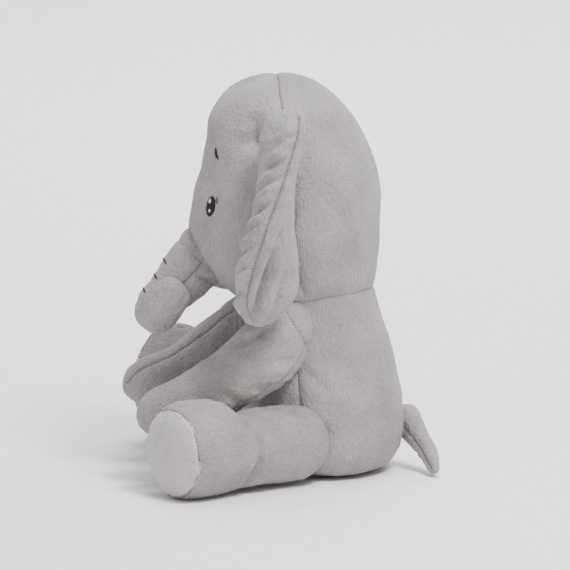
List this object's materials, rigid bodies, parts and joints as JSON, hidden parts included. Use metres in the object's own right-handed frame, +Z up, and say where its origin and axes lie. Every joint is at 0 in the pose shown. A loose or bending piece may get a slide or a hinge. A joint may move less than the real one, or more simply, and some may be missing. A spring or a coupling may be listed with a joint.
{
  "type": "stuffed elephant",
  "caption": "Seated plush elephant with big flat ears, a hanging trunk with a folded tip, stuffed arms and legs sewn on at flexible seams and a short tail; sits on its flat seat.",
  "frame": {"origin": "centre of the flat seat, on the surface that the toy sits on", "axes": "+Z up, -Y the way the toy faces, +X its left side"},
  "size_m": [0.3915, 0.3155, 0.402],
  "materials": {
    "plush": "short soft pile, warm light grey",
    "sole_plush": "short soft pile, paler grey",
    "filling": "loose polyester fibre",
    "pellets": "cotton bag of plastic pellets",
    "dark_thread": "satin embroidery",
    "pale_thread": "satin embroidery"
  },
  "bodies": {
    "torso": {"belly_panel": "plush", "back_panel": "plush", "seat_panel": "plush", "torso_stuffing": "filling", "pellet_bag": "pellets"},
    "head": {"face_panel": "plush", "head_back_panel": "plush", "head_stuffing": "filling", "eye_l": "dark_thread", "eye_r": "dark_thread", "eye_glints_l": "pale_thread", "eye_glints_r": "pale_thread", "brow_l": "dark_thread", "brow_r": "dark_thread"},
    "trunk": {"trunk_top_panel": "plush", "trunk_under_panel": "plush", "trunk_stuffing": "filling", "trunk_fold_top_panel": "plush", "trunk_fold_under_panel": "plush", "trunk_fold_stuffing": "filling", "trunk_marks": "dark_thread"},
    "ear_l": {"ear_l_front_panel": "plush", "ear_l_back_panel": "plush", "ear_l_batting": "filling", "ear_l_hem": "plush"},
    "ear_r": {"ear_r_front_panel": "plush", "ear_r_back_panel": "plush", "ear_r_batting": "filling", "ear_r_hem": "plush"},
    "arm_l": {"arm_l_outer_panel": "plush", "arm_l_inner_panel": "plush", "arm_l_stuffing": "filling"},
    "arm_r": {"arm_r_outer_panel": "plush", "arm_r_inner_panel": "plush", "arm_r_stuffing": "filling"},
    "leg_l": {"leg_l_outer_panel": "plush", "leg_l_inner_panel": "plush", "leg_l_sole": "sole_plush", "leg_l_stuffing": "filling"},
    "leg_r": {"leg_r_outer_panel": "plush", "leg_r_inner_panel": "plush", "leg_r_sole": "sole_plush", "leg_r_stuffing": "filling"},
    "tail": {"tail_top_panel": "plush", "tail_under_panel": "plush", "tail_stuffing": "filling"}
  },
  "joints": [
    {"name": "head_nod", "type": "hinge", "parent": "torso", "child": "head", "pos_m": [0, -0.02, 0.235], "axis": [1, 0, 0], "range_deg": [-12, 15], "stiffness_Nm_per_rad": 3},
    {"name": "trunk_lift", "type": "hinge", "parent": "head", "child": "trunk", "pos_m": [0, -0.129, 0.216], "axis": [-1, 0, 0], "range_deg": [-8, 30], "stiffness_Nm_per_rad": 0.4},
    {"name": "ear_l_flap", "type": "hinge", "parent": "head", "child": "ear_l", "pos_m": [0.088, -0.054, 0.276], "axis": [0.0778, -0.2344, -0.969], "range_deg": [-20, 10], "stiffness_Nm_per_rad": 0.25},
    {"name": "ear_r_flap", "type": "hinge", "parent": "head", "child": "ear_r", "pos_m": [-0.088, -0.054, 0.266], "axis": [-0.0071, 0.2468, 0.969], "range_deg": [-20, 10], "stiffness_Nm_per_rad": 0.25},
    {"name": "arm_l_raise", "type": "hinge", "parent": "torso", "child": "arm_l", "pos_m": [0.083, -0.045, 0.148], "axis": [-1, 0, 0], "range_deg": [0, 36], "stiffness_Nm_per_rad": 0.8},
    {"name": "arm_r_raise", "type": "hinge", "parent": "torso", "child": "arm_r", "pos_m": [-0.083, -0.045, 0.148], "axis": [-1, 0, 0], "range_deg": [0, 36], "stiffness_Nm_per_rad": 0.8},
    {"name": "leg_l_splay", "type": "hinge", "parent": "torso", "child": "leg_l", "pos_m": [0.078, -0.038, 0.043], "axis": [0, 0, 1], "range_deg": [-1, 25], "stiffness_Nm_per_rad": 1.5},
    {"name": "leg_r_splay", "type": "hinge", "parent": "torso", "child": "leg_r", "pos_m": [-0.078, -0.038, 0.043], "axis": [0, 0, -1], "range_deg": [-1, 25], "stiffness_Nm_per_rad": 1.5},
    {"name": "tail_wag", "type": "hinge", "parent": "torso", "child": "tail", "pos_m": [0, 0.085, 0.046], "axis": [0, 0, 1], "range_deg": [-2, 30], "stiffness_Nm_per_rad": 0.15}
  ]
}
